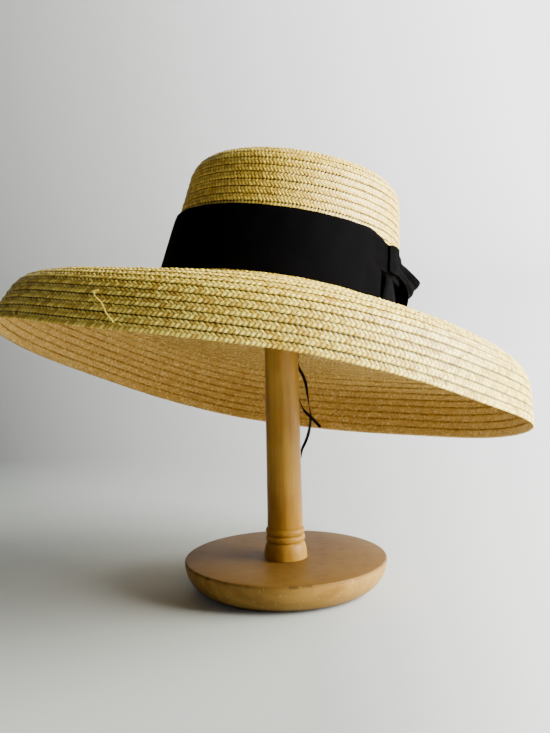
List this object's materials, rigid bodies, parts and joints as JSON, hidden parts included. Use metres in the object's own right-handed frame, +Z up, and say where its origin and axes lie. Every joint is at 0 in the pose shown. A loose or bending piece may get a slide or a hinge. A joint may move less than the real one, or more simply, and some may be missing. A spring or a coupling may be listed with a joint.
{
  "type": "straw boater hat on a wooden hat stand",
  "caption": "Straw sun hat with a flat-topped crown, wide drooping brim of sewn plait, black band with a side bow and loose draw ribbon ends, on a turned wooden stand.",
  "frame": {"origin": "centre of the stand's underside, on the surface that it rests on", "axes": "+Z up along the stand's post; -Y towards the wearer's front; +X towards the wearer's left, where the bow is"},
  "size_m": [0.3887, 0.3805, 0.3278],
  "materials": {
    "straw_plait": "satin wheat-straw plait, sewn in overlapping rows",
    "black_ribbon": "matt black woven cotton",
    "post_wood": "satin varnish",
    "base_wood": "satin varnish, darker and worn along the edge"
  },
  "bodies": {
    "root": {"crown": "straw_plait", "brim": "straw_plait", "hat_band": "black_ribbon", "bow_flap": "black_ribbon", "bow_knot": "black_ribbon", "bow_loop": "black_ribbon", "bow_tail": "black_ribbon", "ribbon_end_long": "black_ribbon", "ribbon_end_short": "black_ribbon", "stand_base": "base_wood", "stand_post": "post_wood", "stand_head": "post_wood"}
  },
  "joints": []
}
